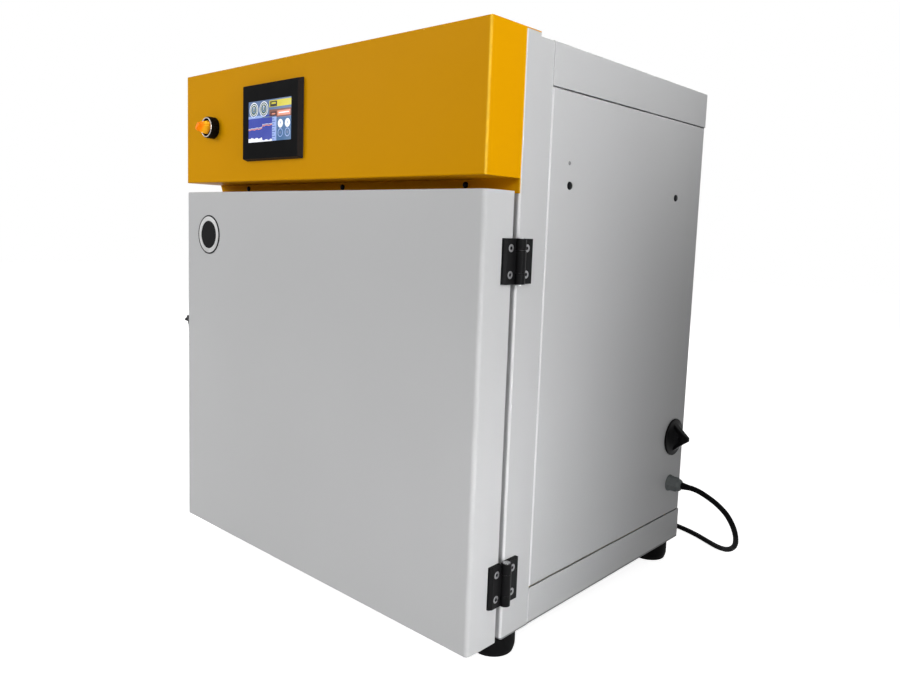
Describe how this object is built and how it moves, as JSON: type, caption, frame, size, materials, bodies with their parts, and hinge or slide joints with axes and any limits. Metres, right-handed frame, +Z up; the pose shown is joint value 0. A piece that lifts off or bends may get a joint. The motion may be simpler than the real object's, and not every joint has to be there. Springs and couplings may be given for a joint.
{
  "type": "laboratory drying oven",
  "caption": "Bench-top laboratory drying oven with a hinged front door, claw latch, yellow fascia with touch terminal and selector, circulation fan and wire shelves.",
  "frame": {"origin": "on the floor under the middle of the oven's overall box, free cord left out", "axes": "+Z up, -Y out of the door side, +X towards the hinge side"},
  "size_m": [0.7269, 0.655, 0.721],
  "materials": {
    "case_paint": "fine textured powder coat",
    "fascia_paint": "smooth yellow powder coat",
    "zinc_steel": "zinc plated",
    "stainless": "brushed",
    "black_hardware": "matt black",
    "black_plastic": "matt",
    "grey_plastic": "matt",
    "cream_plastic": "matt",
    "amber_plastic": "translucent look",
    "screen_face": "glossy",
    "chrome_ring": "bright",
    "black_rubber": "matt",
    "silicone": "matt",
    "mineral_wool": "fibrous",
    "motor_paint": "satin",
    "heater_sheath": "heat tinted",
    "bare_aluminium": "mill finish"
  },
  "bodies": {
    "case": {"front_frame": "case_paint", "top_cover": "case_paint", "base_tray": "case_paint", "left_side_panel": "case_paint", "right_side_panel": "case_paint", "rear_panel": "case_paint", "rear_bulkhead": "zinc_steel", "case_screws": "zinc_steel", "black_screws": "black_plastic", "rubber_feet": "black_rubber", "foot_bolts": "zinc_steel", "chamber_liner": "stainless", "chamber_insulation": "mineral_wool", "fan_baffle": "stainless", "side_racks": "stainless", "lower_shelf": "stainless", "upper_shelf": "stainless", "heater_element": "heater_sheath", "fan_motor": "motor_paint", "temperature_probe": "stainless", "exhaust_tube": "stainless", "fascia_housing": "fascia_paint", "terminal_housing": "black_plastic", "terminal_screen": "screen_face", "selector_body": "black_plastic", "selector_bezel": "black_plastic", "selector_ring": "chrome_ring", "control_tray": "zinc_steel", "power_supply": "bare_aluminium", "relay_heatsink": "bare_aluminium", "solid_state_relay": "black_plastic", "terminal_block": "grey_plastic", "wiring_loom": "black_rubber", "thermostat_body": "cream_plastic", "gland_body": "grey_plastic", "gland_nut": "grey_plastic", "hinge_case_leaves": "black_hardware", "hinge_pins": "stainless", "hinge_case_screws": "stainless", "latch_keeper": "zinc_steel", "power_cord": "black_rubber", "cord_sleeve": "black_rubber", "cord_coil": "black_rubber", "cord_tie": "black_plastic", "mains_plug": "black_plastic"},
    "door": {"door_skin": "case_paint", "door_inner_panel": "stainless", "door_insulation": "mineral_wool", "door_gasket": "silicone", "door_disc": "black_plastic", "hinge_door_leaves": "black_hardware", "hinge_door_screws": "stainless", "latch_base": "zinc_steel"},
    "latch": {"latch_lever": "black_plastic", "latch_claw": "stainless"},
    "selector": {"selector_lever": "amber_plastic"},
    "thermostat": {"thermostat_shaft": "stainless", "thermostat_knob": "black_plastic"},
    "fan_rotor": {"fan_impeller": "stainless", "fan_shaft": "stainless"}
  },
  "joints": [
    {"name": "door_hinge", "type": "hinge", "parent": "case", "child": "door", "pos_m": [0.30655, -0.198, 0.289], "axis": [0, 0, 1], "range_deg": [0, 180]},
    {"name": "latch_turn", "type": "hinge", "parent": "door", "child": "latch", "pos_m": [-0.3, -0.239, 0.289], "axis": [-1, 0, 0], "range_deg": [0, 90]},
    {"name": "selector_turn", "type": "hinge", "parent": "case", "child": "selector", "pos_m": [-0.223, -0.255, 0.64], "axis": [0, -1, 0], "range_deg": [0, 90]},
    {"name": "thermostat_turn", "type": "hinge", "parent": "case", "child": "thermostat", "pos_m": [0.301, 0.217, 0.2], "axis": [-1, 0, 0], "range_deg": [0, 270]},
    {"name": "fan_spin", "type": "hinge", "parent": "case", "child": "fan_rotor", "pos_m": [0, 0.12, 0.2892], "axis": [0, 1, 0], "continuous": true}
  ]
}
